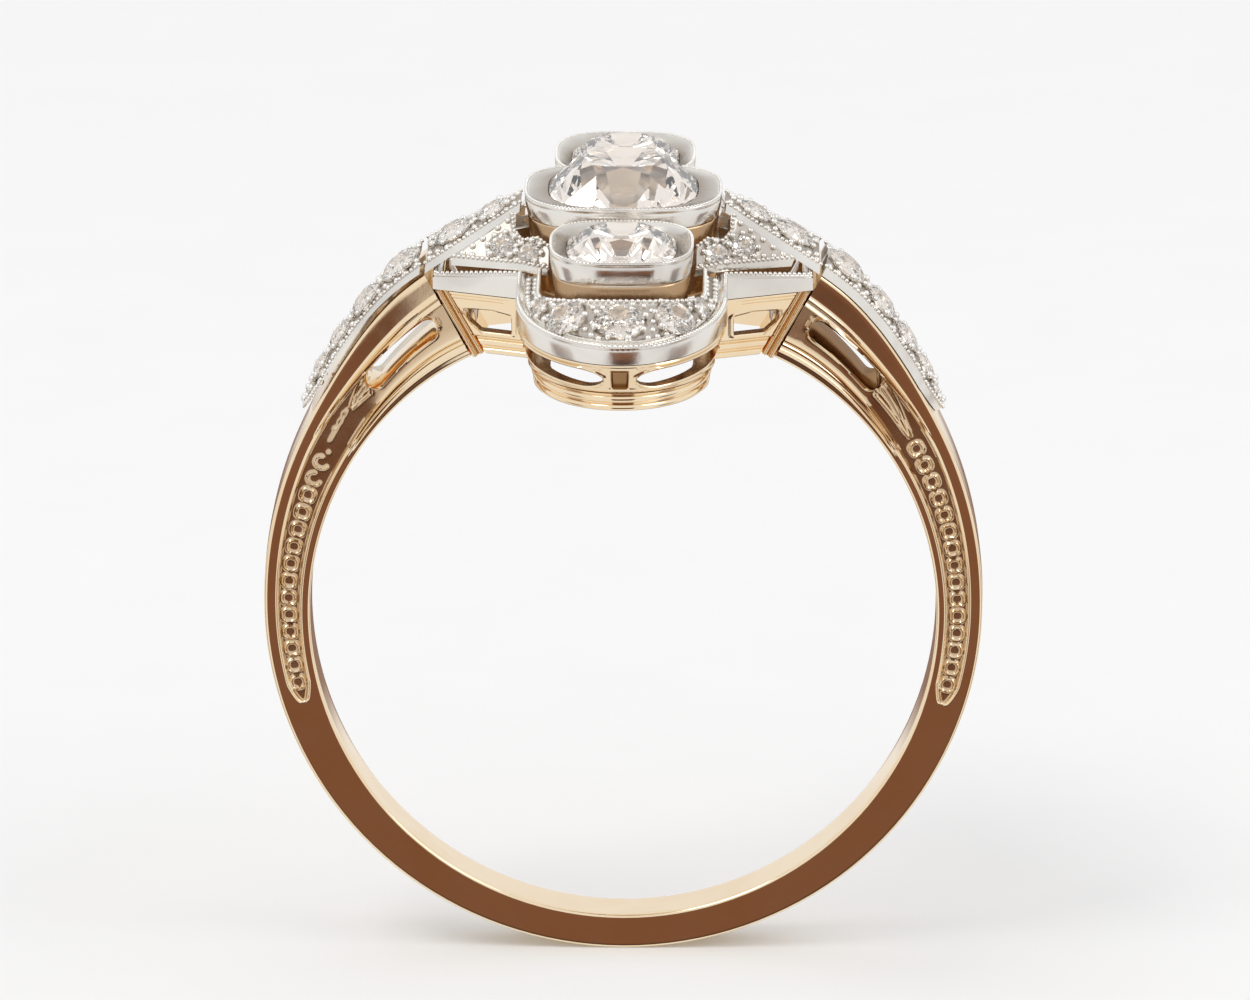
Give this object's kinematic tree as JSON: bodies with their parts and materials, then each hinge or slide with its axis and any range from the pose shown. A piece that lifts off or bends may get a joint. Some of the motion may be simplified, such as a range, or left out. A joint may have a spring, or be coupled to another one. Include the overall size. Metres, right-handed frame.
{
  "type": "engagement ring",
  "caption": "Finger ring with cushion diamonds in a line along the finger, on a pierced pave-set platinum head over a gold gallery and pierced gold shoulders.",
  "frame": {"origin": "centre of the finger hole, midway along the finger", "axes": "+Z from the finger hole to the head, +Y along the finger, +X from one shoulder to the other"},
  "size_m": [0.0194, 0.0166, 0.0224],
  "materials": {
    "gold": "polished rose-yellow gold",
    "platinum": "polished platinum, soft with wear",
    "diamond": "polished facets"
  },
  "bodies": {
    "root": {"back_basket": "gold", "back_collet": "platinum", "back_diamond": "diamond", "back_left_gallery_side": "gold", "back_left_wing": "platinum", "back_left_wing_stone_1": "diamond", "back_left_wing_stone_2": "diamond", "back_lobe_plate": "platinum", "back_lobe_stone_1": "diamond", "back_lobe_stone_2": "diamond", "back_lobe_stone_3": "diamond", "back_lobe_stone_4": "diamond", "back_lobe_stone_5": "diamond", "back_right_gallery_side": "gold", "back_right_wing": "platinum", "back_right_wing_stone_1": "diamond", "back_right_wing_stone_2": "diamond", "base_rail": "gold", "centre_collet": "platinum", "centre_diamond": "diamond", "front_basket": "gold", "front_collet": "platinum", "front_diamond": "diamond", "front_left_gallery_side": "gold", "front_left_wing": "platinum", "front_left_wing_stone_1": "diamond", "front_left_wing_stone_2": "diamond", "front_lobe_plate": "platinum", "front_lobe_stone_1": "diamond", "front_lobe_stone_2": "diamond", "front_lobe_stone_3": "diamond", "front_lobe_stone_4": "diamond", "front_lobe_stone_5": "diamond", "front_right_gallery_side": "gold", "front_right_wing": "platinum", "front_right_wing_stone_1": "diamond", "front_right_wing_stone_2": "diamond", "left_head_stone_1": "diamond", "left_head_stone_2": "diamond", "left_head_strip": "platinum", "left_junction_plate": "gold", "left_shoulder_stone_1": "diamond", "left_shoulder_stone_2": "diamond", "left_shoulder_stone_3": "diamond", "left_shoulder_stone_4": "diamond", "left_shoulder_stone_5": "diamond", "left_shoulder_strip": "platinum", "platinum_rim": "platinum", "right_head_stone_1": "diamond", "right_head_stone_2": "diamond", "right_head_strip": "platinum", "right_junction_plate": "gold", "right_shoulder_stone_1": "diamond", "right_shoulder_stone_2": "diamond", "right_shoulder_stone_3": "diamond", "right_shoulder_stone_4": "diamond", "right_shoulder_stone_5": "diamond", "right_shoulder_strip": "platinum", "shank": "gold"}
  },
  "joints": []
}
